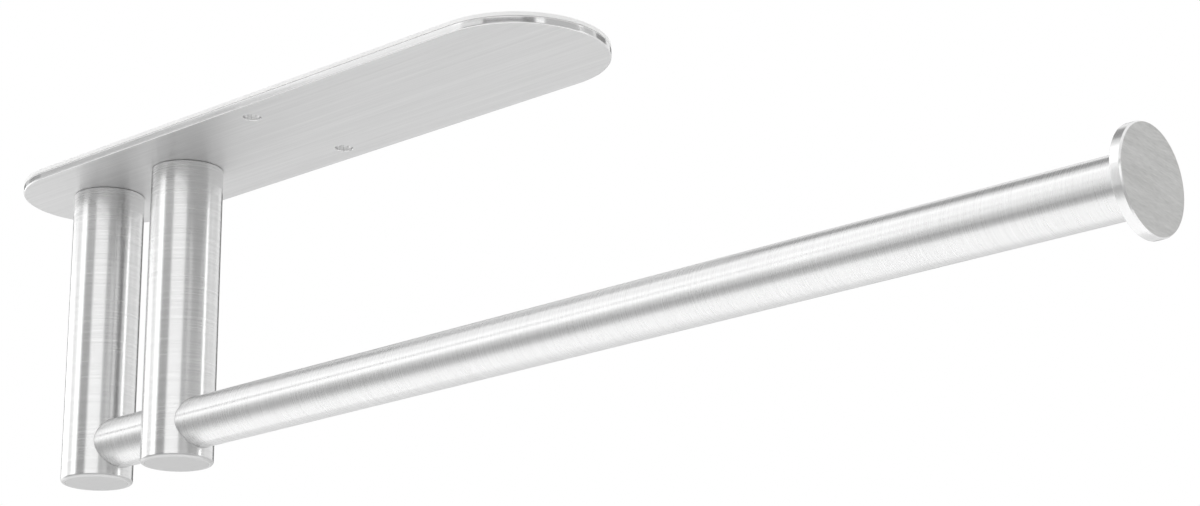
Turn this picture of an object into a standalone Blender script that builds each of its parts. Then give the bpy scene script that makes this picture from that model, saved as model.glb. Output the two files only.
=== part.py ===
"""Under-cabinet paper towel holder in brushed stainless steel.

A flat plate with round ends is stuck or screwed to the underside of a cabinet. Two tubular posts
hang from it near one end, and a straight bar passes through the front post into the rear one.
A roll slides over the small disc at the free end of the bar.

Units are metres and +Z is up. The origin is the centre of the adhesive pad's top face, which meets
the cabinet. +X runs along the bar towards its free end.
"""

import math

import bmesh
import bpy

# Clearance kept between pieces that meet
GAP = 0.0003

# Mounting plate and adhesive pad
PLATE_LENGTH = 0.2106
PLATE_WIDTH = 0.0480
PLATE_THICKNESS = 0.0020
PLATE_EDGE = 0.0003
PAD_THICKNESS = 0.0008
PAD_HOLE_DIAMETER = 0.0095
SCREW_HOLE_DIAMETER = 0.0048
SCREW_HOLE_SPACING = 0.0336

# Posts
POST_DIAMETER = 0.0200
POST_WALL = 0.0012
POST_DROP = 0.0845
POST_SPACING = 0.0345
FRONT_POST_X = -0.0461
POST_RIM_RADIUS = 0.0009
PLUG_THICKNESS = 0.0024

# Bar and its end disc
BAR_DIAMETER = 0.0142
BAR_WALL = 0.0012
BAR_DROP = 0.0743
DISC_DIAMETER = 0.0250
DISC_THICKNESS = 0.0027
DISC_FACE_X = 0.2606
DISC_FRONT_BEVEL = 0.00035
DISC_BACK_BEVEL = 0.00015
SPIGOT_DIAMETER = 0.0060
SPIGOT_LENGTH = 0.0110
END_INSERT_LENGTH = 0.0160

# Countersunk machine screws that hold the posts to the plate
POST_SCREW_DIAMETER = 0.0050
POST_SCREW_LENGTH = 0.0120
SCREW_HEAD_DIAMETER = 0.0093
SCREW_HEAD_RIM = 0.0003
SCREW_SOCKET_FLATS = 0.0030
SCREW_SOCKET_DEPTH = 0.0014
TOP_INSERT_LENGTH = 0.0120

# Set screws that lock the bar inside the posts
SET_SCREW_DIAMETER = 0.0050
SET_SCREW_LENGTH = 0.0100
SET_SCREW_POINT = 0.0006
SET_SCREW_SOCKET_FLATS = 0.0025
SET_SCREW_SOCKET_DEPTH = 0.0030
LOCK_INSERT_LENGTH = 0.0080
LOCK_INSERT_LIFT = 0.0008

# Edge breaks on the hidden turned pieces
INSERT_CHAMFER = 0.0004

# Facets around round pieces
TUBE_SEGMENTS = 64
DISC_SEGMENTS = 96
SMALL_SEGMENTS = 32
PLATE_ARC_SEGMENTS = 48
RIM_ARC_SEGMENTS = 4
SMOOTH_ANGLE = math.radians(30)
MERGE_DISTANCE = 1e-7
CUTTER_OVERRUN = 0.002

# Heights worked out from the dimensions above
PLATE_TOP = -(PAD_THICKNESS + GAP)
PLATE_UNDERSIDE = PLATE_TOP - PLATE_THICKNESS
POST_TOP = PLATE_UNDERSIDE - GAP
POST_BOTTOM = PLATE_UNDERSIDE - POST_DROP
BAR_Z = PLATE_UNDERSIDE - BAR_DROP
BAR_TOP = BAR_Z + BAR_DIAMETER / 2

# Places along the bar, whose flat end stops where its rim would meet the rear post's inner wall
REAR_POST_X = FRONT_POST_X - POST_SPACING
BAR_REACH = math.sqrt((POST_DIAMETER / 2 - POST_WALL) ** 2 - (BAR_DIAMETER / 2) ** 2) - GAP
BAR_START_X = REAR_POST_X - BAR_REACH
DISC_BACK_X = DISC_FACE_X - DISC_THICKNESS
BAR_END_X = DISC_BACK_X - GAP

# Turned pieces that fit inside a tube
POST_CORE_RADIUS = POST_DIAMETER / 2 - POST_WALL - GAP
BAR_CORE_RADIUS = BAR_DIAMETER / 2 - BAR_WALL - GAP

ALONG_BAR = (0.0, math.radians(90), 0.0)


# ---------------------------------------------------------------- scene, materials and objects

def clear_scene():
    """Remove every object that is already in the scene."""
    for old in list(bpy.data.objects):
        bpy.data.objects.remove(old, do_unlink=True)


def make_material(name, colour, roughness, metallic):
    """Return a Principled material of one colour."""
    material = bpy.data.materials.new(name)
    material.use_nodes = True
    shader = material.node_tree.nodes["Principled BSDF"]
    shader.inputs["Base Color"].default_value = (*colour, 1.0)
    shader.inputs["Roughness"].default_value = roughness
    shader.inputs["Metallic"].default_value = metallic
    return material


def make_materials():
    """Return the materials by the name of the piece group that wears them."""
    return {
        "plate": make_material("plate_brushed_steel", (0.66, 0.66, 0.66), 0.34, 1.0),
        "post": make_material("post_brushed_steel", (0.72, 0.72, 0.72), 0.26, 1.0),
        "bar": make_material("bar_brushed_steel", (0.74, 0.74, 0.74), 0.26, 1.0),
        "disc": make_material("disc_brushed_steel", (0.62, 0.62, 0.61), 0.32, 1.0),
        "hidden": make_material("turned_steel", (0.56, 0.57, 0.57), 0.40, 1.0),
        "screw": make_material("screw_steel", (0.60, 0.60, 0.61), 0.30, 1.0),
        "pad": make_material("adhesive_foam", (0.90, 0.90, 0.89), 0.70, 0.0),
    }


def make_parent(name, location, parent=None):
    """Return an empty that places a group of pieces."""
    empty = bpy.data.objects.new(name, None)
    empty.location = location
    empty.parent = parent
    bpy.context.collection.objects.link(empty)
    return empty


def place(name, mesh, material, parent, location=(0.0, 0.0, 0.0), rotation=(0.0, 0.0, 0.0)):
    """Return a new piece of the holder, at its location under its parent."""
    piece = bpy.data.objects.new(name, mesh)
    piece.location = location
    piece.rotation_euler = rotation
    piece.parent = parent
    if not mesh.materials:
        mesh.materials.append(material)
    bpy.context.collection.objects.link(piece)
    return piece


def cut(piece, name, mesh, location=(0.0, 0.0, 0.0), rotation=(0.0, 0.0, 0.0)):
    """Cut a shape out of a piece, the shape being placed under the same parent as the piece."""
    cutter = bpy.data.objects.new(name, mesh)
    cutter.location = location
    cutter.rotation_euler = rotation
    cutter.parent = piece.parent
    cutter.hide_render = True
    cutter.display_type = "WIRE"
    bpy.context.collection.objects.link(cutter)
    modifier = piece.modifiers.new(name, "BOOLEAN")
    modifier.operation = "DIFFERENCE"
    modifier.solver = "EXACT"
    modifier.object = cutter


# ---------------------------------------------------------------- mesh builders

def finish_mesh(name, bm):
    """Turn a bmesh into a smooth-shaded mesh with its faces pointing out."""
    bmesh.ops.recalc_face_normals(bm, faces=bm.faces)
    mesh = bpy.data.meshes.new(name)
    bm.to_mesh(mesh)
    bm.free()
    mesh.shade_smooth()
    mesh.set_sharp_from_angle(angle=SMOOTH_ANGLE)
    return mesh


def turned_mesh(name, profile, segments):
    """Turn an outline of (radius, height) points about Z.

    An outline that starts and ends on the axis makes a solid piece, any other makes a ring or tube.
    """
    bm = bmesh.new()
    points = [bm.verts.new((radius, 0.0, height)) for radius, height in profile]
    edges = [bm.edges.new(pair) for pair in zip(points, points[1:])]
    if profile[0][0] > 0.0:
        edges.append(bm.edges.new((points[-1], points[0])))
    bmesh.ops.spin(
        bm, geom=points + edges, cent=(0.0, 0.0, 0.0), axis=(0.0, 0.0, 1.0),
        angle=2 * math.pi, steps=segments, use_merge=True)
    bmesh.ops.remove_doubles(bm, verts=bm.verts, dist=MERGE_DISTANCE)
    return finish_mesh(name, bm)


def prism_mesh(name, outline, height):
    """Extrude a flat outline of (x, y) points up from z = 0."""
    bm = bmesh.new()
    base = bm.faces.new([bm.verts.new((x, y, 0.0)) for x, y in outline])
    grown = bmesh.ops.extrude_face_region(bm, geom=[base])["geom"]
    top = [part for part in grown if isinstance(part, bmesh.types.BMVert)]
    bmesh.ops.translate(bm, verts=top, vec=(0.0, 0.0, height))
    return finish_mesh(name, bm)


def arc(centre, radius, start, end, steps):
    """Return points on an arc between two angles in degrees, both ends included."""
    sweep = end - start
    angles = [math.radians(start + sweep * step / steps) for step in range(steps + 1)]
    return [
        (centre[0] + radius * math.cos(angle), centre[1] + radius * math.sin(angle))
        for angle in angles
    ]


def stadium(length, width):
    """Return the outline of a bar with full round ends, centred on the origin."""
    radius = width / 2
    reach = length / 2 - radius
    right = arc((reach, 0.0), radius, -90, 90, PLATE_ARC_SEGMENTS)
    left = arc((-reach, 0.0), radius, 90, 270, PLATE_ARC_SEGMENTS)
    return right + left


def cylinder_mesh(name, radius, height, segments=SMALL_SEGMENTS):
    """Return a solid cylinder that stands on z = 0."""
    return turned_mesh(name, [(0.0, 0.0), (radius, 0.0), (radius, height), (0.0, height)], segments)


def hexagon_mesh(name, across_flats, depth):
    """Return the shape of a hexagon socket, which starts at z = 0."""
    radius = across_flats / math.sqrt(3)
    return prism_mesh(name, arc((0.0, 0.0), radius, 0, 300, 5), depth)


def threaded_insert_mesh(name, outer_radius, bore_radius, length, mouth_radius):
    """Return a chamfered sleeve that hangs down from z = 0, with a flared mouth on its bore."""
    flare = mouth_radius - bore_radius
    profile = [
        (mouth_radius, 0.0),
        (bore_radius, -flare),
        (bore_radius, -length),
        (outer_radius - INSERT_CHAMFER, -length),
        (outer_radius, INSERT_CHAMFER - length),
        (outer_radius, -INSERT_CHAMFER),
        (outer_radius - INSERT_CHAMFER, 0.0),
    ]
    return turned_mesh(name, profile, SMALL_SEGMENTS)


# ---------------------------------------------------------------- plate and pad

def countersunk_hole_mesh():
    """Return the hole that leaves a gap all around a countersunk screw head at plate height."""
    head_radius = SCREW_HEAD_DIAMETER / 2 + GAP
    cone_top = -SCREW_HEAD_RIM
    depth = PLATE_THICKNESS + CUTTER_OVERRUN
    shank_radius = POST_SCREW_DIAMETER / 2 + GAP
    cone_depth = head_radius - shank_radius
    profile = [
        (0.0, CUTTER_OVERRUN),
        (head_radius, CUTTER_OVERRUN),
        (head_radius, cone_top),
        (shank_radius, cone_top - cone_depth),
        (shank_radius, -depth),
        (0.0, -depth),
    ]
    return turned_mesh("countersunk_hole", profile, SMALL_SEGMENTS)


def add_mounting_plate(parent, material):
    """Flat plate with round ends, two plain screw holes and a countersunk hole over each post."""
    mesh = prism_mesh("mounting_plate", stadium(PLATE_LENGTH, PLATE_WIDTH), PLATE_THICKNESS)
    plate = place("mounting_plate", mesh, material, parent, (0.0, 0.0, PLATE_UNDERSIDE))
    edge = plate.modifiers.new("edge_break", "BEVEL")
    edge.width = PLATE_EDGE
    edge.segments = 1
    edge.limit_method = "ANGLE"
    edge.angle_limit = math.radians(60)

    depth = PLATE_THICKNESS + 2 * CUTTER_OVERRUN
    hole = cylinder_mesh("screw_hole", SCREW_HOLE_DIAMETER / 2, depth)
    for name, side in (("screw_hole_left", -1), ("screw_hole_right", 1)):
        cut(plate, name, hole, (0.0, side * SCREW_HOLE_SPACING / 2, PLATE_UNDERSIDE - CUTTER_OVERRUN))

    countersink = countersunk_hole_mesh()
    for name, x in (("front_countersink", FRONT_POST_X), ("rear_countersink", REAR_POST_X)):
        cut(plate, name, countersink, (x, 0.0, PLATE_TOP))


def add_adhesive_pad(parent, material):
    """Double-sided foam pad of the plate's outline, punched where the screws go through."""
    mesh = prism_mesh("adhesive_pad", stadium(PLATE_LENGTH, PLATE_WIDTH), PAD_THICKNESS)
    pad = place("adhesive_pad", mesh, material, parent, (0.0, 0.0, -PAD_THICKNESS))
    depth = PAD_THICKNESS + 2 * CUTTER_OVERRUN
    hole = cylinder_mesh("pad_hole", PAD_HOLE_DIAMETER / 2, depth)
    for name, side in (("pad_hole_left", -1), ("pad_hole_right", 1)):
        cut(pad, name, hole, (0.0, side * SCREW_HOLE_SPACING / 2, -PAD_THICKNESS - CUTTER_OVERRUN))


# ---------------------------------------------------------------- posts

def post_tube_mesh():
    """Return a plain tube that hangs down from z = 0, its lower outer edge rounded."""
    outer = POST_DIAMETER / 2
    inner = outer - POST_WALL
    bottom = POST_BOTTOM - POST_TOP
    rim_centre = (outer - POST_RIM_RADIUS, bottom + POST_RIM_RADIUS)
    rim = arc(rim_centre, POST_RIM_RADIUS, 0, -90, RIM_ARC_SEGMENTS)
    profile = [(inner, 0.0), (outer, 0.0)] + rim + [(inner, bottom)]
    return turned_mesh("post_tube", profile, TUBE_SEGMENTS)


def bottom_plug_mesh():
    """Return the disc that closes a post, flush with the lower end of its tube."""
    bevel = INSERT_CHAMFER / 2
    profile = [
        (0.0, 0.0),
        (POST_CORE_RADIUS - bevel, 0.0),
        (POST_CORE_RADIUS, bevel),
        (POST_CORE_RADIUS, PLUG_THICKNESS - INSERT_CHAMFER),
        (POST_CORE_RADIUS - INSERT_CHAMFER, PLUG_THICKNESS),
        (0.0, PLUG_THICKNESS),
    ]
    return turned_mesh("bottom_plug", profile, TUBE_SEGMENTS)


def post_screw_mesh():
    """Return a countersunk screw that hangs down from z = 0."""
    head = SCREW_HEAD_DIAMETER / 2
    shank = POST_SCREW_DIAMETER / 2
    profile = [
        (0.0, 0.0),
        (head, 0.0),
        (head, -SCREW_HEAD_RIM),
        (shank, -SCREW_HEAD_RIM - (head - shank)),
        (shank, INSERT_CHAMFER - POST_SCREW_LENGTH),
        (shank - INSERT_CHAMFER, -POST_SCREW_LENGTH),
        (0.0, -POST_SCREW_LENGTH),
    ]
    return turned_mesh("post_screw", profile, SMALL_SEGMENTS)


def set_screw_mesh():
    """Return a headless screw that stands on z = 0, with a chamfered point."""
    shank = SET_SCREW_DIAMETER / 2
    profile = [
        (0.0, 0.0),
        (shank - SET_SCREW_POINT, 0.0),
        (shank, SET_SCREW_POINT),
        (shank, SET_SCREW_LENGTH - INSERT_CHAMFER),
        (shank - INSERT_CHAMFER, SET_SCREW_LENGTH),
        (0.0, SET_SCREW_LENGTH),
    ]
    return turned_mesh("set_screw", profile, SMALL_SEGMENTS)


def add_post_tube(name, frame, material, bore_start):
    """Tube of one post, with the bar's bore running from bore_start to past its free side."""
    tube = place(name + "_tube", post_tube_mesh(), material, frame, (0.0, 0.0, POST_TOP))
    bore_length = POST_DIAMETER / 2 + CUTTER_OVERRUN - bore_start
    bore = cylinder_mesh(name + "_bar_bore", BAR_DIAMETER / 2 + GAP, bore_length, TUBE_SEGMENTS)
    cut(tube, name + "_bar_bore", bore, (bore_start, 0.0, BAR_Z), ALONG_BAR)


def add_bottom_plug(name, frame, material):
    """Plug that closes the lower end of a post."""
    place(name + "_bottom_plug", bottom_plug_mesh(), material, frame, (0.0, 0.0, POST_BOTTOM))


def add_top_insert(name, frame, material):
    """Threaded insert in the upper end of a post, which takes the screw from the plate."""
    bore = POST_SCREW_DIAMETER / 2 + GAP
    cone_radius = SCREW_HEAD_DIAMETER / 2 - (PLATE_TOP - SCREW_HEAD_RIM - POST_TOP)
    mouth = max(bore, cone_radius + GAP * math.sqrt(2))
    mesh = threaded_insert_mesh("top_insert", POST_CORE_RADIUS, bore, TOP_INSERT_LENGTH, mouth)
    place(name + "_top_insert", mesh, material, frame, (0.0, 0.0, POST_TOP))


def add_post_screw(name, frame, material):
    """Countersunk screw that draws a post up against the plate."""
    screw = place(name + "_screw", post_screw_mesh(), material, frame, (0.0, 0.0, PLATE_TOP))
    depth = SCREW_SOCKET_DEPTH + CUTTER_OVERRUN
    socket = hexagon_mesh(name + "_screw_socket", SCREW_SOCKET_FLATS, depth)
    cut(screw, name + "_screw_socket", socket, (0.0, 0.0, PLATE_TOP - SCREW_SOCKET_DEPTH))


def add_lock_insert(name, frame, material):
    """Threaded block above the bar, which carries the set screw."""
    bore = SET_SCREW_DIAMETER / 2 + GAP
    mouth = bore + INSERT_CHAMFER
    mesh = threaded_insert_mesh("lock_insert", POST_CORE_RADIUS, bore, LOCK_INSERT_LENGTH, mouth)
    top = BAR_TOP + LOCK_INSERT_LIFT + LOCK_INSERT_LENGTH
    place(name + "_lock_insert", mesh, material, frame, (0.0, 0.0, top))


def add_set_screw(name, frame, material):
    """Set screw that bears on the top of the bar."""
    point = BAR_TOP + GAP
    screw = place(name + "_set_screw", set_screw_mesh(), material, frame, (0.0, 0.0, point))
    depth = SET_SCREW_SOCKET_DEPTH + CUTTER_OVERRUN
    socket = hexagon_mesh(name + "_set_screw_socket", SET_SCREW_SOCKET_FLATS, depth)
    floor = point + SET_SCREW_LENGTH - SET_SCREW_SOCKET_DEPTH
    cut(screw, name + "_set_screw_socket", socket, (0.0, 0.0, floor))


def add_post(name, x, bore_start, parent, materials):
    """One post with everything inside it, placed by an empty on its axis."""
    frame = make_parent(name + "_axis", (x, 0.0, 0.0), parent)
    add_post_tube(name, frame, materials["post"], bore_start)
    add_bottom_plug(name, frame, materials["post"])
    add_top_insert(name, frame, materials["hidden"])
    add_post_screw(name, frame, materials["screw"])
    add_lock_insert(name, frame, materials["hidden"])
    add_set_screw(name, frame, materials["screw"])


# ---------------------------------------------------------------- bar and end disc

def add_bar_tube(parent, material):
    """Tube that carries the roll, from the rear post to the end disc."""
    outer = BAR_DIAMETER / 2
    inner = outer - BAR_WALL
    length = BAR_END_X - BAR_START_X
    profile = [(inner, 0.0), (outer, 0.0), (outer, length), (inner, length)]
    mesh = turned_mesh("bar_tube", profile, TUBE_SEGMENTS)
    place("bar_tube", mesh, material, parent, (BAR_START_X, 0.0, BAR_Z), ALONG_BAR)


def add_bar_end_insert(parent, material):
    """Threaded insert in the free end of the bar, which takes the disc's spigot."""
    bore = SPIGOT_DIAMETER / 2 + GAP
    mouth = bore + INSERT_CHAMFER
    mesh = threaded_insert_mesh("bar_end_insert", BAR_CORE_RADIUS, bore, END_INSERT_LENGTH, mouth)
    place("bar_end_insert", mesh, material, parent, (BAR_END_X, 0.0, BAR_Z), ALONG_BAR)


def add_end_disc(parent, material):
    """Disc at the free end of the bar, turned in one piece with its spigot."""
    rim = DISC_DIAMETER / 2
    spigot = SPIGOT_DIAMETER / 2
    profile = [
        (0.0, -SPIGOT_LENGTH),
        (spigot - INSERT_CHAMFER, -SPIGOT_LENGTH),
        (spigot, INSERT_CHAMFER - SPIGOT_LENGTH),
        (spigot, 0.0),
        (rim - DISC_BACK_BEVEL, 0.0),
        (rim, DISC_BACK_BEVEL),
        (rim, DISC_THICKNESS - DISC_FRONT_BEVEL),
        (rim - DISC_FRONT_BEVEL, DISC_THICKNESS),
        (0.0, DISC_THICKNESS),
    ]
    mesh = turned_mesh("end_disc", profile, DISC_SEGMENTS)
    place("end_disc", mesh, material, parent, (DISC_BACK_X, 0.0, BAR_Z), ALONG_BAR)


def build_holder():
    """Build every piece of the holder under one parent."""
    clear_scene()
    materials = make_materials()
    holder = make_parent("paper_towel_holder", (0.0, 0.0, 0.0))
    add_mounting_plate(holder, materials["plate"])
    add_adhesive_pad(holder, materials["pad"])
    through_both_walls = -POST_DIAMETER / 2 - CUTTER_OVERRUN
    add_post("front_post", FRONT_POST_X, through_both_walls, holder, materials)
    add_post("rear_post", REAR_POST_X, 0.0, holder, materials)
    add_bar_tube(holder, materials["bar"])
    add_bar_end_insert(holder, materials["hidden"])
    add_end_disc(holder, materials["disc"])


build_holder()
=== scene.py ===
"""The looks of the under-cabinet paper towel holder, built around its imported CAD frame.

Every CAD node is replaced by a finished mesh of the same size in the same place: rounded and
polished edges, real threads and knurling on the hidden turned pieces, and brushed steel whose
grain runs the way each piece was finished. Units are metres and +Z is up.
"""

import math

import bmesh
import bpy
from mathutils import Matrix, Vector


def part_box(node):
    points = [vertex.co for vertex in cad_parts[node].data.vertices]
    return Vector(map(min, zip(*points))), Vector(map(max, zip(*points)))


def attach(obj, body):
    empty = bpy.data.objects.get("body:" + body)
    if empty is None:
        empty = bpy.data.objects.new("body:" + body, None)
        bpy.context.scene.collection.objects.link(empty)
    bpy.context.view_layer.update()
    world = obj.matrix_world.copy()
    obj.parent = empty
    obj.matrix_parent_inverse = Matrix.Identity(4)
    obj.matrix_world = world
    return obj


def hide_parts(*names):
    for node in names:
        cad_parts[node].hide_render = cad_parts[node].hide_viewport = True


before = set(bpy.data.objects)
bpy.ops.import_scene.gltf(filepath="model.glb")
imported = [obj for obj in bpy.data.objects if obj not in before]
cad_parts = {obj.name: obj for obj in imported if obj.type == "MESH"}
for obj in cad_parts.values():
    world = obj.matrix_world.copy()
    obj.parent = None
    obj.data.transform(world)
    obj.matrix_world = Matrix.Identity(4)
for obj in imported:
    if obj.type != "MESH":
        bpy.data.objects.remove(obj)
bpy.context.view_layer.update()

# ---------------------------------------------------------------- places taken from the frame

PLATE_LOW, PLATE_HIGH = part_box("mounting_plate")
PAD_LOW, PAD_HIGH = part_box("adhesive_pad")
BAR_LOW, BAR_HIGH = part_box("bar_tube")
DISC_LOW, DISC_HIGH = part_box("end_disc")
PLATE_UNDERSIDE = PLATE_LOW.z
PLATE_TOP = PLATE_HIGH.z
BAR_Z = (BAR_LOW.z + BAR_HIGH.z) / 2
BAR_RADIUS = (BAR_HIGH.z - BAR_LOW.z) / 2
DISC_RADIUS = (DISC_HIGH.z - DISC_LOW.z) / 2

# ---------------------------------------------------------------- finished edges and fits

# Plate and pad. A margin is a strip beside a rounded edge that keeps the flat face's shading even.
# Broken edges inside the hole zone, a half length and a half width, belong to holes.
PLATE_EDGE = 0.0003
PLATE_MARGIN = 0.0012
PAD_EDGE = 0.00012
PAD_MARGIN = 0.0008
PAD_HOLE_RADIUS = 0.00475
PAD_HOLE_EDGE = 0.0001
SCREW_HOLE_RADIUS = 0.0024
SCREW_HOLE_SPACING = 0.0336
HOLE_EDGE = 0.00015
HOLE_ZONE_X = 0.09
HOLE_ZONE_Y = 0.021

# Posts, their bottom plugs and the bar
TUBE_WALL = 0.0012
POST_RIM_RADIUS = 0.0009
POST_TOP_CHAMFER = 0.0002
POST_LIP_CHAMFER = 0.00005
BORE_CLEARANCE = 0.00004
BAR_END_CHAMFER = 0.0002
PLUG_SEAM = 0.00003
PLUG_EDGE = 0.00006
PLUG_MARGIN = 0.0008
PLUG_TOP_CHAMFER = 0.0004

# End disc
DISC_THICKNESS = 0.0027
DISC_CHAMFER_DEPTH = 0.00045
DISC_CHAMFER_INSET = 0.00027
DISC_EDGE = 0.00004
DISC_SHOULDER_INSET = 0.00005
DISC_SHOULDER_DEPTH = 0.00006
DISC_BACK_BEVEL = 0.00015
DISC_MARGIN = 0.0015
SPIGOT_RADIUS = 0.0030
SPIGOT_TIP_CHAMFER = 0.0005

# Threads of the hidden pieces
M5_RADIUS = 0.0025
M5_PITCH = 0.0008
M6_PITCH = 0.0010
THREAD_DEPTH_PER_PITCH = 0.55
THREAD_CLEARANCE = 0.00005
THREAD_END_CHAMFER = 0.0004
RINGS_PER_PITCH = 6

# Screws and their hexagon sockets, measured across the flats
SCREW_HEAD_RIM = 0.0003
SCREW_HEAD_CHAMFER = 0.0001
POST_SCREW_SOCKET = 0.0030
POST_SCREW_SOCKET_DEPTH = 0.0014
SET_SCREW_SOCKET = 0.0025
SET_SCREW_SOCKET_DEPTH = 0.003
SET_SCREW_CUP_RADIUS = 0.0009
SET_SCREW_POINT_RADIUS = 0.0019
SET_SCREW_CUP_DEPTH = 0.0005
SET_SCREW_POINT_HEIGHT = 0.0006

# Knurled inserts, grown from their CAD size until they fill their tubes
INSERT_GROWTH = 0.00028
INSERT_FLARE = 0.0004
KNURL_DEPTH = 0.00012
KNURL_TEETH = 48
FACETS_PER_TOOTH = 3
KNURL_PITCH = 0.006

# Facets
TUBE_SEGMENTS = 256
HOLE_SEGMENTS = 96
THREAD_SEGMENTS = 36
PLATE_ARC_SEGMENTS = 96
EDGE_STEPS = 4
RIM_STEPS = 8
SMOOTH_ANGLE = math.radians(35)

# A cutter runs past the piece that it cuts, and radii closer than this count as the same
CUTTER_OVERRUN = 0.001
SAME_RADIUS = 1e-6

# A face is a side below the first of these limits and flat above the second, by its |normal z|
PLATE_SIDE, PLATE_FLAT = 0.15, 0.97
POST_SIDE, POST_FLAT = 0.12, 0.999
DISC_SIDE, DISC_FLAT = 0.12, 0.985

# Material slots of the faces of the plate, the posts and the disc
BODY_SLOT, EDGE_SLOT, RIM_SLOT, BORE_SLOT = range(4)

# Places and turns of the pieces
ORIGIN = (0.0, 0.0, 0.0)
BAR_PLACE = (0.0, 0.0, BAR_Z)
UPRIGHT = (0.0, 0.0, 0.0)
ALONG_X = (0.0, math.radians(90), 0.0)


# ---------------------------------------------------------------- mesh builders

def finish_mesh(name, bm):
    """Turn a bmesh into a smooth-shaded mesh with its faces pointing out."""
    bmesh.ops.recalc_face_normals(bm, faces=bm.faces)
    mesh = bpy.data.meshes.new(name)
    bm.to_mesh(mesh)
    bm.free()
    mesh.shade_smooth()
    mesh.set_sharp_from_angle(angle=SMOOTH_ANGLE)
    return mesh


def add_rings(bm, rings):
    """Bridge neighbouring rings of vertices with quads. A ring of one vertex closes an end."""
    for first, second in zip(rings, rings[1:]):
        count = max(len(first), len(second))
        for step in range(count):
            after = (step + 1) % count
            corners = (
                first[step % len(first)], first[after % len(first)],
                second[after % len(second)], second[step % len(second)],
            )
            unique = list(dict.fromkeys(corners))
            bm.faces.new(unique)


def turned_mesh(name, profile, segments=TUBE_SEGMENTS, radius_at=None):
    """Turn an outline of (radius, height) points about Z.

    An outline with both ends on the axis makes a solid, any other one makes a ring or tube.
    radius_at(radius, height, angle) may vary the radius around the piece.
    """
    bm = bmesh.new()
    rings = []
    for radius, height in profile:
        if radius == 0.0:
            rings.append([bm.verts.new((0.0, 0.0, height))])
            continue
        ring = []
        for step in range(segments):
            angle = 2 * math.pi * step / segments
            reach = radius_at(radius, height, angle) if radius_at else radius
            ring.append(bm.verts.new((reach * math.cos(angle), reach * math.sin(angle), height)))
        rings.append(ring)
    if profile[0][0] > 0.0:
        rings.append(rings[0])
    add_rings(bm, rings)
    return finish_mesh(name, bm)


def arc(centre, radius, start, end, steps):
    """Return points on an arc between two angles in degrees, both ends included."""
    sweep = end - start
    angles = [math.radians(start + sweep * step / steps) for step in range(steps + 1)]
    return [
        (centre[0] + radius * math.cos(angle), centre[1] + radius * math.sin(angle))
        for angle in angles
    ]


def stadium_ring(bm, low, high, inset, height):
    """Add a ring of vertices in the shape of a bar with full round ends, drawn in by inset."""
    radius = (high.y - low.y) / 2
    middle_y = (high.y + low.y) / 2
    right = arc((high.x - radius, middle_y), radius - inset, -90, 90, PLATE_ARC_SEGMENTS)
    left = arc((low.x + radius, middle_y), radius - inset, 90, 270, PLATE_ARC_SEGMENTS)
    return [bm.verts.new((x, y, height)) for x, y in right + left]


def stadium_slab(name, low, high, edge, margin):
    """Return a slab with full round ends and softly rounded edges.

    margin is the width of the strip beside each rounded edge that keeps the flat faces flat.
    """
    bm = bmesh.new()
    lower = arc((edge, low.z + edge), edge, 270, 180, EDGE_STEPS)
    upper = arc((edge, high.z - edge), edge, 180, 90, EDGE_STEPS)
    profile = [(margin, low.z)] + lower + upper + [(margin, high.z)]
    rings = [stadium_ring(bm, low, high, inset, height) for inset, height in profile]
    add_rings(bm, rings)
    bm.faces.new(rings[0])
    bm.faces.new(rings[-1])
    return finish_mesh(name, bm)


def prism_mesh(name, outline, height):
    """Extrude a flat outline of (x, y) points up from z = 0."""
    bm = bmesh.new()
    base = bm.faces.new([bm.verts.new((x, y, 0.0)) for x, y in outline])
    grown = bmesh.ops.extrude_face_region(bm, geom=[base])["geom"]
    top = [part for part in grown if isinstance(part, bmesh.types.BMVert)]
    bmesh.ops.translate(bm, verts=top, vec=(0.0, 0.0, height))
    return finish_mesh(name, bm)


def carved(name, mesh, cutters):
    """Return the mesh with shapes cut out of it, each given as (mesh, location, rotation)."""
    body = bpy.data.objects.new("carved_body", mesh)
    bpy.context.collection.objects.link(body)
    helpers = [body]
    for shape, location, rotation in cutters:
        cutter = bpy.data.objects.new("carving_shape", shape)
        cutter.location = location
        cutter.rotation_euler = rotation
        bpy.context.collection.objects.link(cutter)
        helpers.append(cutter)
        modifier = body.modifiers.new("carve", "BOOLEAN")
        modifier.solver = "EXACT"
        modifier.object = cutter
    evaluated = body.evaluated_get(bpy.context.evaluated_depsgraph_get())
    result = bpy.data.meshes.new_from_object(evaluated)
    result.name = name
    for helper in helpers:
        bpy.data.objects.remove(helper, do_unlink=True)
    result.shade_smooth()
    result.set_sharp_from_angle(angle=SMOOTH_ANGLE)
    return result


def groove_depth(pitch, height, angle):
    """Return how far the thread's groove cuts in at a height and an angle round the screw."""
    turn = (height / pitch - angle / (2 * math.pi)) % 1.0
    groove = 1.0 - abs(2.0 * turn - 1.0)
    return THREAD_DEPTH_PER_PITCH * pitch * groove


def thread_heights(start, end, pitch):
    """Return heights close enough together to carry a thread between two ends."""
    steps = math.ceil(abs(end - start) / pitch * RINGS_PER_PITCH)
    return [start + (end - start) * step / steps for step in range(steps + 1)]


def edge_share(height, start, end, run_out):
    """Return 0 at either end of a stretch, rising to 1 within the run-out length."""
    nearest = min(abs(height - start), abs(end - height))
    return min(1.0, nearest / run_out)


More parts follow.
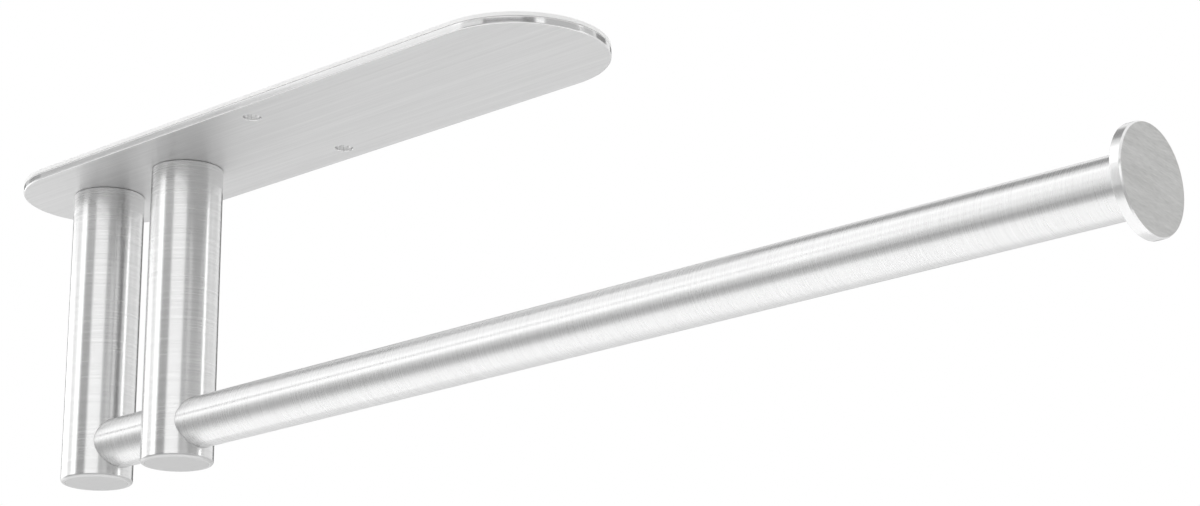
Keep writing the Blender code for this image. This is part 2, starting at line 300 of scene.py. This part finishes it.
def threaded_rod_mesh(name, tip, start, end, shank, pitch, head):
    """Turn a screw about Z: tip outline, threaded stretch from start to end, then head outline."""
    def radius_at(radius, height, angle):
        inside = min(start, end) < height < max(start, end)
        if not inside or radius < shank - SAME_RADIUS:
            return radius
        return radius - groove_depth(pitch, height, angle) * edge_share(height, start, end, pitch)

    shaft = [(shank, height) for height in thread_heights(start, end, pitch)]
    return turned_mesh(name, tip + shaft + head, THREAD_SEGMENTS, radius_at)


def threaded_sleeve_mesh(name, top, bottom, outer, shank, pitch):
    """Return a knurled sleeve about Z whose bore carries the thread of the screw in it."""
    flare = INSERT_FLARE
    bore = shank + THREAD_CLEARANCE

    def radius_at(radius, height, angle):
        if radius > bore + 2 * flare:
            wave = 0.5 - 0.5 * math.cos(KNURL_TEETH * angle)
            return radius - KNURL_DEPTH * wave * edge_share(height, bottom, top, 3 * flare)
        if radius > bore:
            return radius
        return radius - groove_depth(pitch, height, angle) * edge_share(height, bottom, top, pitch)

    knurl = [(outer, height) for height in thread_heights(bottom + flare, top - flare, KNURL_PITCH)]
    threads = [(bore, height) for height in thread_heights(top - flare, bottom + flare, pitch)]
    profile = [(outer - flare, bottom)] + knurl + [(outer - flare, top), (bore + flare, top)]
    profile += threads + [(bore + flare, bottom)]
    return turned_mesh(name, profile, KNURL_TEETH * FACETS_PER_TOOTH, radius_at)


def hexagon_socket(across_flats, depth):
    """Return the shape of a hexagon socket that starts at z = 0."""
    corners = arc((0.0, 0.0), across_flats / math.sqrt(3), 0, 300, 5)
    return prism_mesh("hexagon_socket", corners, depth)


def hole_cutter(radius, low, high, edge, segments=HOLE_SEGMENTS):
    """Return a turned cutter for a round hole between two heights, its edges slightly broken."""
    start = low - CUTTER_OVERRUN
    end = high + CUTTER_OVERRUN
    profile = [
        (0.0, start), (radius + edge, start), (radius + edge, low), (radius, low + edge),
        (radius, high - edge), (radius + edge, high), (radius + edge, end), (0.0, end),
    ]
    return turned_mesh("hole_cutter", profile, segments)


def mark_faces(mesh, slot, low, high):
    """Give a material slot to the faces whose |normal z| lies between two limits."""
    for face in mesh.polygons:
        if low < abs(face.normal.z) < high:
            face.material_index = slot


def add_flat_uv(mesh, angle=0.0):
    """Lay a UV map flat on the mesh, its U axis turned about Z, for the direction of the grain."""
    layer = mesh.uv_layers.new(name="grain")
    along = Vector((math.cos(angle), math.sin(angle), 0.0))
    across = Vector((-math.sin(angle), math.cos(angle), 0.0))
    for loop in mesh.loops:
        point = mesh.vertices[loop.vertex_index].co
        layer.data[loop.index].uv = (point.dot(along), point.dot(across))


# ---------------------------------------------------------------- materials

class Shader:
    """A new material's node tree, with short ways to add and join nodes."""

    def __init__(self, name):
        self.material = bpy.data.materials.new(name)
        self.material.use_nodes = True
        self.tree = self.material.node_tree
        self.principled = self.tree.nodes["Principled BSDF"]

    def node(self, kind, **settings):
        """Add a node of a kind, with its settings."""
        node = self.tree.nodes.new(kind)
        for key, value in settings.items():
            setattr(node, key, value)
        return node

    def join(self, output, socket):
        """Link an output to a socket."""
        self.tree.links.new(output, socket)

    def noise(self, scale, rotation=(0.0, 0.0, 0.0), detail=2.0, sharpness=0.5):
        """Noise in the piece's own coordinates, stretched by a scale in cycles per metre."""
        coordinates = self.node("ShaderNodeTexCoord")
        mapping = self.node("ShaderNodeMapping")
        turn = self.node("ShaderNodeMapping")
        turn.inputs["Rotation"].default_value = rotation
        mapping.inputs["Scale"].default_value = scale
        noise = self.node("ShaderNodeTexNoise")
        noise.inputs["Scale"].default_value = 1.0
        noise.inputs["Detail"].default_value = detail
        noise.inputs["Roughness"].default_value = sharpness
        self.join(coordinates.outputs["Object"], turn.inputs["Vector"])
        self.join(turn.outputs["Vector"], mapping.inputs["Vector"])
        self.join(mapping.outputs["Vector"], noise.inputs["Vector"])
        return noise.outputs["Fac"]

    def remap(self, value, low, high, from_low=0.3, from_high=0.7):
        """Stretch the middle of a noise to run from low to high."""
        node = self.node("ShaderNodeMapRange")
        node.inputs["From Min"].default_value = from_low
        node.inputs["From Max"].default_value = from_high
        node.inputs["To Min"].default_value = low
        node.inputs["To Max"].default_value = high
        self.join(value, node.inputs["Value"])
        return node.outputs["Result"]

    def math(self, operation, first, second):
        """Join two values, each an output or a number, by a sum or a product."""
        node = self.node("ShaderNodeMath", operation=operation)
        for socket, value in zip(node.inputs, (first, second)):
            if isinstance(value, float):
                socket.default_value = value
            else:
                self.join(value, socket)
        return node.outputs["Value"]

    def tint(self, colour, amount):
        """Multiply a colour by a value."""
        node = self.node("ShaderNodeVectorMath", operation="SCALE")
        node.inputs["Vector"].default_value = colour
        self.join(amount, node.inputs["Scale"])
        return node.outputs["Vector"]

    def bump(self, height, strength, distance):
        """Raise the surface slightly where a value is high."""
        node = self.node("ShaderNodeBump")
        node.inputs["Strength"].default_value = strength
        node.inputs["Distance"].default_value = distance
        self.join(height, node.inputs["Height"])
        self.join(node.outputs["Normal"], self.principled.inputs["Normal"])


# Noise in cycles per metre across and along the scratches, and the streaks' share of it
ACROSS_GRAIN = 4600.0
ALONG_GRAIN = 45.0
SHORT_GRAIN = 500.0
BROAD_STREAKS = 0.16
FINE_STREAKS = 0.42

# A quarter turn, so that gloss spreads across the scratches
CROSS_GRAIN = 0.25

# Height of the finest marks, scratches and nicks, and of the foam's cells
SCRATCH_DEPTH = 0.00002
CELL_DEPTH = 0.00005

# Slant of the disc's scratches from level
DISC_GRAIN_TURN = math.radians(5)


def grey(level):
    """Return a neutral colour."""
    return (level, level, level)


def brushed_steel(
        name, colour, roughness, anisotropy, grain, tangent, turn=0.0, contrast=1.0,
        along=ALONG_GRAIN, streaks=BROAD_STREAKS):
    """Brushed steel: fine scratches along the grain, broader soft streaks and faint smudges.

    grain scales the noise along the piece's axes, 0 along the scratches and 1 across them.
    tangent is "Z" for scratches that run round the piece's axis, or a UV map's name.
    contrast makes the scratches stronger, and a higher along makes them shorter.
    streaks is the streaks' noise scale as a share of the scratches' own.
    """
    shader = Shader(name)
    fine_scale = [along + (ACROSS_GRAIN - along) * share for share in grain]
    streak_scale = [value * streaks for value in fine_scale]
    spin = (0.0, 0.0, turn)
    fine = shader.noise(fine_scale, spin, detail=4.0, sharpness=0.65)
    streak = shader.noise(streak_scale, spin, detail=3.0, sharpness=0.55)
    smudge = shader.noise((38.0, 38.0, 38.0), detail=2.0)
    inputs = shader.principled.inputs

    scratched = shader.remap(fine, 1.0 - 0.09 * contrast, 1.0 + 0.05 * contrast)
    streaked = shader.remap(streak, 1.0 - 0.045 * contrast, 1.0 + 0.035 * contrast)
    tone = shader.math("MULTIPLY", scratched, streaked)
    shader.join(shader.tint(colour, tone), inputs["Base Color"])
    uneven = shader.remap(fine, roughness - 0.03 * contrast, roughness + 0.03 * contrast)
    smudged = shader.remap(smudge, -0.012, 0.018)
    shader.join(shader.math("ADD", uneven, smudged), inputs["Roughness"])
    inputs["Metallic"].default_value = 1.0
    inputs["Anisotropic"].default_value = anisotropy
    inputs["Anisotropic Rotation"].default_value = CROSS_GRAIN
    if tangent == "Z":
        direction = shader.node("ShaderNodeTangent", direction_type="RADIAL", axis="Z")
    else:
        direction = shader.node("ShaderNodeTangent", direction_type="UV_MAP", uv_map=tangent)
    shader.join(direction.outputs["Tangent"], inputs["Tangent"])
    shader.bump(fine, 0.05 * contrast, SCRATCH_DEPTH)
    return shader.material


def polished_edge(name, colour):
    """Edge broken with a fine abrasive: smooth and bright, with a few tiny nicks."""
    shader = Shader(name)
    wear = shader.noise((900.0, 900.0, 900.0), detail=3.0, sharpness=0.6)
    inputs = shader.principled.inputs
    shader.join(shader.tint(colour, shader.remap(wear, 0.95, 1.03)), inputs["Base Color"])
    shader.join(shader.remap(wear, 0.16, 0.26), inputs["Roughness"])
    inputs["Metallic"].default_value = 1.0
    shader.bump(wear, 0.05, SCRATCH_DEPTH)
    return shader.material


def machined_steel(name, colour, roughness):
    """Turned steel with fine lathe rings and a dull oiled tone."""
    shader = Shader(name)
    rings = shader.noise((60.0, 60.0, 9000.0), detail=2.0)
    stain = shader.noise((220.0, 220.0, 220.0), detail=3.0)
    inputs = shader.principled.inputs
    tone = shader.math("MULTIPLY", shader.remap(rings, 0.94, 1.03), shader.remap(stain, 0.93, 1.03))
    shader.join(shader.tint(colour, tone), inputs["Base Color"])
    gloss = shader.remap(rings, roughness - 0.05, roughness + 0.05)
    shader.join(gloss, inputs["Roughness"])
    inputs["Metallic"].default_value = 1.0
    shader.bump(rings, 0.15, SCRATCH_DEPTH)
    return shader.material


def adhesive_foam(name):
    """White acrylic foam: closed cells, matt, and very slightly uneven in tone."""
    shader = Shader(name)
    coordinates = shader.node("ShaderNodeTexCoord")
    cells = shader.node("ShaderNodeTexVoronoi")
    cells.inputs["Scale"].default_value = 4500.0
    shader.join(coordinates.outputs["Object"], cells.inputs["Vector"])
    cloud = shader.noise((120.0, 120.0, 120.0), detail=3.0)
    inputs = shader.principled.inputs
    pitted = shader.remap(cells.outputs["Distance"], 0.97, 1.0, 0.0, 0.6)
    tone = shader.math("MULTIPLY", pitted, shader.remap(cloud, 0.97, 1.01))
    shader.join(shader.tint((0.97, 0.97, 0.965), tone), inputs["Base Color"])
    shader.join(shader.remap(cloud, 0.62, 0.74), inputs["Roughness"])
    shader.bump(cells.outputs["Distance"], 0.25, CELL_DEPTH)
    return shader.material


def make_materials():
    """Return the holder's materials by name."""
    around = (0.0, 0.0, 1.0)
    lengthwise = (0.0, 1.0, 1.0)
    sideways = (1.0, 0.0, 1.0)
    return {
        "plate": brushed_steel(
            "plate_brushed", grey(0.70), 0.42, 0.55, lengthwise, "grain", contrast=0.8),
        "plate_rim": brushed_steel(
            "plate_rim_brushed", grey(0.72), 0.13, 0.0, around, "Z", contrast=0.5),
        "post": brushed_steel(
            "post_brushed", grey(0.76), 0.25, 0.65, around, "Z", streaks=FINE_STREAKS),
        "bar": brushed_steel(
            "bar_brushed", grey(0.78), 0.28, 0.75, around, "Z", streaks=FINE_STREAKS),
        "disc": brushed_steel(
            "disc_brushed", (0.58, 0.58, 0.572), 0.36, 0.70, sideways, "grain",
            turn=DISC_GRAIN_TURN, contrast=1.8, along=SHORT_GRAIN),
        "disc_rim": brushed_steel(
            "disc_rim_brushed", grey(0.80), 0.22, 0.0, around, "Z", contrast=0.3),
        "bore": brushed_steel("bore_drilled", grey(0.70), 0.24, 0.0, around, "Z", contrast=0.5),
        "plug": brushed_steel(
            "plug_brushed", grey(0.61), 0.36, 0.60, lengthwise, "grain", contrast=0.5),
        "rim": brushed_steel("rim_brushed", grey(0.62), 0.36, 0.40, around, "Z", contrast=0.5),
        "edge": polished_edge("polished_edge", grey(0.82)),
        "turned": machined_steel("turned_steel", (0.56, 0.57, 0.57), 0.38),
        "screw": machined_steel("screw_steel", (0.60, 0.60, 0.61), 0.28),
        "pad": adhesive_foam("adhesive_foam"),
    }


# ---------------------------------------------------------------- pieces

def add_piece(node, mesh, materials, location=ORIGIN, rotation=UPRIGHT):
    """Put a finished mesh in the place of its CAD node."""
    for material in materials:
        mesh.materials.append(material)
    piece = bpy.data.objects.new(node + "_finished", mesh)
    piece.location = location
    piece.rotation_euler = rotation
    bpy.context.collection.objects.link(piece)
    normals = piece.modifiers.new("even_normals", "WEIGHTED_NORMAL")
    normals.keep_sharp = True
    normals.weight = 100
    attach(piece, "root")
    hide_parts(node)


def axis_of(node):
    """Return where the vertical axis of an upright CAD node stands."""
    low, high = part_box(node)
    return ((low.x + high.x) / 2, 0.0, 0.0)


def radius_of(node):
    """Return the outer radius of an upright round CAD node."""
    low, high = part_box(node)
    return (high.x - low.x) / 2


def screw_hole_cutters(hole):
    """Put a hole's cutter at both places across the middle where a wood screw may go."""
    return [(hole, (0.0, side * SCREW_HOLE_SPACING / 2, 0.0), UPRIGHT) for side in (-1, 1)]


def countersink_cutter(post):
    """Return the countersink in the plate for a post's screw, in the place where it belongs."""
    rim = radius_of(post + "_screw") + BORE_CLEARANCE
    shank = M5_RADIUS + BORE_CLEARANCE
    above = PLATE_TOP + CUTTER_OVERRUN
    below = PLATE_UNDERSIDE - CUTTER_OVERRUN
    rim_end = PLATE_TOP - SCREW_HEAD_RIM
    profile = [
        (0.0, above), (rim, above), (rim, rim_end), (shank, rim_end - (rim - shank)),
        (shank, below), (0.0, below),
    ]
    return (turned_mesh("countersink", profile, HOLE_SEGMENTS), axis_of(post + "_screw"), UPRIGHT)


def add_plate(materials):
    """Mounting plate: lengthwise grain, bright edge breaks, two screw holes and two countersinks."""
    slab = stadium_slab("mounting_plate", PLATE_LOW, PLATE_HIGH, PLATE_EDGE, PLATE_MARGIN)
    hole = hole_cutter(SCREW_HOLE_RADIUS, PLATE_UNDERSIDE, PLATE_TOP, HOLE_EDGE)
    cutters = screw_hole_cutters(hole)
    cutters += [countersink_cutter(post) for post in ("front_post", "rear_post")]
    mesh = carved("mounting_plate", slab, cutters)
    mark_faces(mesh, EDGE_SLOT, PLATE_SIDE, PLATE_FLAT)
    mark_faces(mesh, RIM_SLOT, -1.0, PLATE_SIDE)
    for face in mesh.polygons:
        inside = abs(face.center.x) < HOLE_ZONE_X and abs(face.center.y) < HOLE_ZONE_Y
        if inside and face.material_index != BODY_SLOT:
            face.material_index = BORE_SLOT
    add_flat_uv(mesh)
    plate_materials = [materials[key] for key in ("plate", "edge", "plate_rim", "bore")]
    add_piece("mounting_plate", mesh, plate_materials)


def add_pad(materials):
    """Adhesive pad, pressed flat on the plate, with a soft cut edge and two punched holes."""
    low = Vector((PAD_LOW.x, PAD_LOW.y, PLATE_TOP))
    slab = stadium_slab("adhesive_pad", low, PAD_HIGH, PAD_EDGE, PAD_MARGIN)
    hole = hole_cutter(PAD_HOLE_RADIUS, PLATE_TOP, PAD_HIGH.z, PAD_HOLE_EDGE)
    mesh = carved("adhesive_pad", slab, screw_hole_cutters(hole))
    add_piece("adhesive_pad", mesh, (materials["pad"],))


def add_post_tube(post, bore_start, materials):
    """Post tube: grain round it, a rounded lower rim and a close bore for the bar.

    The bore runs along X from bore_start, measured from the post's axis, out to the free side.
    """
    node = post + "_tube"
    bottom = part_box(node)[0].z
    outer = radius_of(node)
    inner = outer - TUBE_WALL
    profile = [
        (inner, PLATE_UNDERSIDE), (outer - POST_TOP_CHAMFER, PLATE_UNDERSIDE),
        (outer, PLATE_UNDERSIDE - POST_TOP_CHAMFER),
    ]
    rim_centre = (outer - POST_RIM_RADIUS, bottom + POST_RIM_RADIUS)
    profile += arc(rim_centre, POST_RIM_RADIUS, 0, -90, RIM_STEPS)
    profile += [(inner + POST_LIP_CHAMFER, bottom), (inner, bottom + POST_LIP_CHAMFER)]
    bore = hole_cutter(BAR_RADIUS + BORE_CLEARANCE, bore_start, outer, 0.0, TUBE_SEGMENTS)
    mesh = carved(node, turned_mesh("tube", profile), [(bore, BAR_PLACE, ALONG_X)])
    mark_faces(mesh, EDGE_SLOT, POST_SIDE, POST_FLAT)
    add_piece(node, mesh, (materials["post"], materials["rim"]), axis_of(node))


def add_plug(post, materials):
    """Plug that closes the post, flush with the tube, with a hairline seam."""
    node = post + "_bottom_plug"
    low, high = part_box(node)
    radius = radius_of(post + "_tube") - TUBE_WALL - PLUG_SEAM
    profile = [
        (0.0, low.z), (radius - PLUG_MARGIN, low.z),
        (radius - PLUG_EDGE, low.z), (radius, low.z + PLUG_EDGE),
        (radius, high.z - PLUG_TOP_CHAMFER), (radius - PLUG_TOP_CHAMFER, high.z), (0.0, high.z),
    ]
    mesh = turned_mesh(node, profile)
    add_flat_uv(mesh)
    add_piece(node, mesh, (materials["plug"],), axis_of(node))


def add_post_screw(post, materials):
    """Countersunk machine screw from the plate into the post."""
    node = post + "_screw"
    low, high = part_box(node)
    head = radius_of(node)
    cone_end = high.z - SCREW_HEAD_RIM - (head - M5_RADIUS)
    thread_start = low.z + THREAD_END_CHAMFER
    tip = [(0.0, low.z), (M5_RADIUS - THREAD_END_CHAMFER, low.z)]
    top = [
        (head, high.z - SCREW_HEAD_RIM), (head, high.z - SCREW_HEAD_CHAMFER),
        (head - SCREW_HEAD_CHAMFER, high.z), (0.0, high.z),
    ]
    rod = threaded_rod_mesh("rod", tip, thread_start, cone_end, M5_RADIUS, M5_PITCH, top)
    socket = hexagon_socket(POST_SCREW_SOCKET, POST_SCREW_SOCKET_DEPTH + CUTTER_OVERRUN)
    socket_place = (0.0, 0.0, high.z - POST_SCREW_SOCKET_DEPTH)
    mesh = carved(node, rod, [(socket, socket_place, UPRIGHT)])
    add_piece(node, mesh, (materials["screw"],), axis_of(node))


def add_set_screw(post, materials):
    """Set screw with a cup point on the bar and a hexagon socket on top."""
    node = post + "_set_screw"
    low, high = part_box(node)
    thread_start = low.z + SET_SCREW_POINT_HEIGHT
    thread_end = high.z - THREAD_END_CHAMFER
    tip = [
        (0.0, low.z + SET_SCREW_CUP_DEPTH), (SET_SCREW_CUP_RADIUS, low.z),
        (SET_SCREW_POINT_RADIUS, low.z),
    ]
    top = [(M5_RADIUS - THREAD_END_CHAMFER, high.z), (0.0, high.z)]
    rod = threaded_rod_mesh("rod", tip, thread_start, thread_end, M5_RADIUS, M5_PITCH, top)
    socket = hexagon_socket(SET_SCREW_SOCKET, SET_SCREW_SOCKET_DEPTH + CUTTER_OVERRUN)
    socket_place = (0.0, 0.0, high.z - SET_SCREW_SOCKET_DEPTH)
    mesh = carved(node, rod, [(socket, socket_place, UPRIGHT)])
    add_piece(node, mesh, (materials["screw"],), axis_of(node))


def add_post_insert(node, materials):
    """Knurled insert inside a post, threaded for an M5 screw."""
    low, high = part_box(node)
    outer = radius_of(node) + INSERT_GROWTH
    mesh = threaded_sleeve_mesh(node, high.z, low.z, outer, M5_RADIUS, M5_PITCH)
    add_piece(node, mesh, (materials["turned"],), axis_of(node))


def add_post(post, bore_start, materials):
    """One post and everything inside it."""
    add_post_tube(post, bore_start, materials)
    add_plug(post, materials)
    add_post_screw(post, materials)
    add_set_screw(post, materials)
    add_post_insert(post + "_top_insert", materials)
    add_post_insert(post + "_lock_insert", materials)


def add_bar(materials):
    """Bar tube: grain round the tube, ends squared with a small chamfer."""
    inner = BAR_RADIUS - TUBE_WALL
    end = DISC_HIGH.x - DISC_THICKNESS
    chamfer = BAR_END_CHAMFER
    profile = [
        (inner, BAR_LOW.x), (BAR_RADIUS - chamfer, BAR_LOW.x), (BAR_RADIUS, BAR_LOW.x + chamfer),
        (BAR_RADIUS, end - chamfer), (BAR_RADIUS - chamfer, end), (inner, end),
    ]
    mesh = turned_mesh("bar_tube", profile)
    add_piece("bar_tube", mesh, (materials["bar"],), BAR_PLACE, ALONG_X)


def add_bar_end_insert(materials):
    """Threaded insert inside the bar's free end."""
    node = "bar_end_insert"
    low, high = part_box(node)
    outer = (high.z - low.z) / 2 + INSERT_GROWTH
    mesh = threaded_sleeve_mesh(node, high.x, low.x, outer, SPIGOT_RADIUS, M6_PITCH)
    add_piece(node, mesh, (materials["turned"],), BAR_PLACE, ALONG_X)


def add_disc(materials):
    """End disc: finely brushed face, bright front bevel, smooth rim and a threaded spigot."""
    tip_end = DISC_LOW.x
    face = DISC_HIGH.x
    back = face - DISC_THICKNESS
    shoulder = face - DISC_CHAMFER_DEPTH
    face_radius = DISC_RADIUS - DISC_CHAMFER_INSET
    front = [
        (DISC_RADIUS, shoulder),
        (DISC_RADIUS - DISC_SHOULDER_INSET, shoulder + DISC_SHOULDER_DEPTH),
        (face_radius, face - DISC_EDGE), (face_radius - DISC_EDGE, face),
        (DISC_RADIUS - DISC_MARGIN, face), (0.0, face),
    ]
    bevel_centre = (DISC_RADIUS - DISC_BACK_BEVEL, back + DISC_BACK_BEVEL)
    rear = arc(bevel_centre, DISC_BACK_BEVEL, -90, 0, EDGE_STEPS)
    heights = thread_heights(tip_end + SPIGOT_TIP_CHAMFER, back, M6_PITCH)
    profile = [(0.0, tip_end), (SPIGOT_RADIUS - SPIGOT_TIP_CHAMFER, tip_end)]
    profile += [(SPIGOT_RADIUS, height) for height in heights] + rear + front

    def radius_at(radius, height, angle):
        if height > back or abs(radius - SPIGOT_RADIUS) > SAME_RADIUS:
            return radius
        share = edge_share(height, tip_end, back, M6_PITCH)
        return radius - groove_depth(M6_PITCH, height, angle) * share

    mesh = turned_mesh("end_disc", profile, TUBE_SEGMENTS, radius_at)
    mark_faces(mesh, EDGE_SLOT, DISC_SIDE, DISC_FLAT)
    mark_faces(mesh, RIM_SLOT, -1.0, DISC_SIDE)
    add_flat_uv(mesh, math.radians(90) - DISC_GRAIN_TURN)
    disc_materials = [materials[key] for key in ("disc", "edge", "disc_rim")]
    add_piece("end_disc", mesh, disc_materials, BAR_PLACE, ALONG_X)


# ---------------------------------------------------------------- floor, light and camera

FLOOR_Z = -2.4
FLOOR_SIZE = 14.0
FLOOR_GLOW = 0.4
WORLD_GLOW = 1.0

# Studio panels, round the middle of the holder. The step is in degrees.
PANEL_CENTRE = Vector((0.10, 0.0, -0.04))
PANEL_DISTANCE = 2.0
BOOM_DISTANCE = 1.9
PANEL_STEP = 6.0

CAMERA_PLACE = (0.5383, -0.4831, -0.2635)
CAMERA_TURN = (math.radians(107.429), math.radians(0.461), math.radians(41.772))
CAMERA_LENS = 84.46
SENSOR_WIDTH = 36.0
CLIP_START = 0.01


def add_floor():
    """Pale matt floor well below the holder."""
    bm = bmesh.new()
    bmesh.ops.create_grid(bm, x_segments=2, y_segments=2, size=FLOOR_SIZE / 2)
    floor = bpy.data.objects.new("floor", finish_mesh("floor", bm))
    floor.location = (0.0, 0.0, FLOOR_Z)
    shader = Shader("pale_floor")
    cloud = shader.noise((3.0, 3.0, 3.0), detail=3.0)
    inputs = shader.principled.inputs
    shader.join(shader.tint(grey(0.86), shader.remap(cloud, 0.99, 1.01)), inputs["Base Color"])
    inputs["Roughness"].default_value = 0.8
    inputs["Emission Color"].default_value = (1.0, 1.0, 1.0, 1.0)
    inputs["Emission Strength"].default_value = FLOOR_GLOW
    floor.data.materials.append(shader.material)
    bpy.context.collection.objects.link(floor)


def set_world():
    """Even white surroundings."""
    world = bpy.data.worlds.new("studio_white")
    world.use_nodes = True
    background = world.node_tree.nodes["Background"]
    background.inputs["Color"].default_value = (1.0, 1.0, 1.0, 1.0)
    background.inputs["Strength"].default_value = WORLD_GLOW
    bpy.context.scene.world = world


def glow_at(profile, elevation):
    """Return the brightness at an elevation, from (elevation, brightness) points going up."""
    for (low, low_glow), (high, high_glow) in zip(profile, profile[1:]):
        if elevation <= high:
            return low_glow + (high_glow - low_glow) * (elevation - low) / (high - low)
    return profile[-1][1]


def panel_mesh(name, azimuths, profile, distance):
    """Return a curved grid that carries its brightness in an attribute named glow."""
    lowest = profile[0][0]
    highest = profile[-1][0]
    across = max(2, round((azimuths[1] - azimuths[0]) / PANEL_STEP))
    upward = max(2, round((highest - lowest) / PANEL_STEP))
    bm = bmesh.new()
    glow = bm.verts.layers.float.new("glow")
    rows = []
    for row in range(upward + 1):
        elevation = lowest + (highest - lowest) * row / upward
        reach = distance * math.cos(math.radians(elevation))
        height = distance * math.sin(math.radians(elevation))
        verts = []
        for column in range(across + 1):
            azimuth = math.radians(azimuths[0] + (azimuths[1] - azimuths[0]) * column / across)
            offset = Vector((reach * math.sin(azimuth), -reach * math.cos(azimuth), height))
            vert = bm.verts.new(PANEL_CENTRE + offset)
            vert[glow] = glow_at(profile, elevation)
            verts.append(vert)
        rows.append(verts)
    for lower, upper in zip(rows, rows[1:]):
        for column in range(across):
            bm.faces.new((lower[column], lower[column + 1], upper[column + 1], upper[column]))
    return finish_mesh(name, bm)


def glowing(name):
    """Return a material that shines as brightly as the glow attribute says."""
    material = bpy.data.materials.new(name)
    material.use_nodes = True
    nodes = material.node_tree.nodes
    nodes.clear()
    attribute = nodes.new("ShaderNodeAttribute")
    attribute.attribute_name = "glow"
    emission = nodes.new("ShaderNodeEmission")
    output = nodes.new("ShaderNodeOutputMaterial")
    material.node_tree.links.new(attribute.outputs["Fac"], emission.inputs["Strength"])
    material.node_tree.links.new(emission.outputs["Emission"], output.inputs["Surface"])
    return material


def add_panel(name, azimuths, profile, distance=PANEL_DISTANCE):
    """Curved studio panel round the holder: a softbox where bright, a grey flag where dim.

    profile gives (elevation, brightness) points from the panel's lower edge to its upper one.
    Angles are in degrees. Azimuth 0 is the front, -Y, and 90 the free end of the bar, +X.
    """
    panel = bpy.data.objects.new(name, panel_mesh(name, azimuths, profile, distance))
    panel.data.materials.append(glowing(name))
    panel.visible_camera = False
    bpy.context.collection.objects.link(panel)


def add_boom(name, azimuths, elevations, brightness):
    """Narrow panel in front of the softboxes, which only the smooth rims show sharply."""
    profile = [(elevation, brightness) for elevation in elevations]
    add_panel(name, azimuths, profile, BOOM_DISTANCE)


def add_panels():
    """Softboxes and a strip light, with grey flags that give the steel its dark bands."""
    add_panel("far_left_softbox", (-103, -80), (
        (-36, 1.2), (-25, 1.3), (-8, 1.5), (8, 1.9), (25, 1.75), (49, 1.3)))
    add_panel("outer_left_softbox", (-79.8, -62), (
        (-38, 1.0), (-25, 0.7), (-12, 0.8), (0, 1.3), (14, 1.9), (25, 1.45), (38, 1.0), (49, 1.3)))
    add_panel("left_softbox", (-61.8, -44), (
        (-38, 1.0), (-25, 0.5), (-12, 0.4), (0, 0.5), (14, 1.45), (25, 1.45), (38, 1.0), (49, 1.35)))
    add_panel("left_column", (-43.8, -27), (
        (-38, 0.9), (-25, 0.6), (-12, 0.6), (0, 1.0), (9, 1.9), (25, 1.95), (38, 1.45), (49, 1.4)))
    add_panel("top_softbox", (-95, 15), ((49.3, 1.7), (55, 1.4)))
    add_panel("top_flag", (-95, -60), ((55.3, 0.6), (61, 0.6)))
    add_panel("high_flag", (225, 264.8), ((47, 0.35), (61.8, 0.35)))
    add_panel("front_flag", (-26.8, 5), ((-40, 0.8), (-22, 0.32), (8, 0.36), (25, 0.5), (45, 0.9)))
    add_panel("front_softbox", (5, 50), (
        (-45, 0.5), (-22, 0.3), (-8, 0.9), (5, 1.4), (25, 1.35), (45, 0.95)))
    add_panel("right_flag", (50, 124.5), (
        (-45, 0.6), (-20, 0.5), (-5, 0.7), (8, 0.57), (25, 0.62), (45, 0.9)))
    add_panel("strip_light", (125, 131), ((-8, 1.4), (5, 2.7), (24, 2.7), (36, 0.9), (45, 0.9)))
    add_panel("back_right_flag", (131.3, 145), ((-45, 0.9), (-8, 0.75), (8, 0.75), (45, 0.9)))
    add_panel("back_right_panel", (145.2, 180), ((-45, 0.9), (-8, 0.85), (8, 0.95), (45, 1.0)))
    add_panel("back_panel", (180, 248), ((-45, 1.0), (-25, 0.85), (2, 0.85)))
    add_panel("back_edge_flag", (202, 256.8), ((2, 0.15), (31, 0.15)))
    add_panel("overhead_flag", (225, 290), ((62, 0.3), (88, 0.3)))
    add_boom("far_left_boom", (-103.2, -86.2), (16.5, 20.0), 0.7)
    add_boom("left_boom", (-86, -58), (16.5, 20.0), 0.3)
    add_boom("side_boom", (-58, -49), (16.5, 21.5), 0.6)
    add_boom("side_bright_boom", (-49, -33), (17.5, 24.5), 1.1)
    add_boom("disc_card", (-31, -25), (-15, 7), 1.4)
    add_boom("front_bright_boom", (-33, 2), (20.5, 24.5), 1.1)
    add_boom("front_boom", (3, 64), (20.5, 24.5), 0.25)
    add_boom("right_bright_boom", (66, 77), (20.5, 24.5), 1.6)
    add_boom("right_boom", (78, 150), (20.5, 24.5), 0.65)
    add_boom("back_boom", (156, 182), (20.5, 24.5), 0.3)


def add_camera():
    """Camera below the holder and towards its free end, looking up along it."""
    camera = bpy.data.objects.new("camera", bpy.data.cameras.new("camera"))
    camera.location = CAMERA_PLACE
    camera.rotation_euler = CAMERA_TURN
    camera.data.lens = CAMERA_LENS
    camera.data.sensor_width = SENSOR_WIDTH
    camera.data.clip_start = CLIP_START
    bpy.context.collection.objects.link(camera)
    bpy.context.scene.camera = camera


def build():
    """Build the whole scene around the frame."""
    materials = make_materials()
    add_plate(materials)
    add_pad(materials)
    add_post("front_post", -radius_of("front_post_tube"), materials)
    add_post("rear_post", 0.0, materials)
    add_bar(materials)
    add_bar_end_insert(materials)
    add_disc(materials)
    add_floor()
    set_world()
    add_panels()
    add_camera()
    bpy.context.scene.view_settings.view_transform = "Standard"


build()
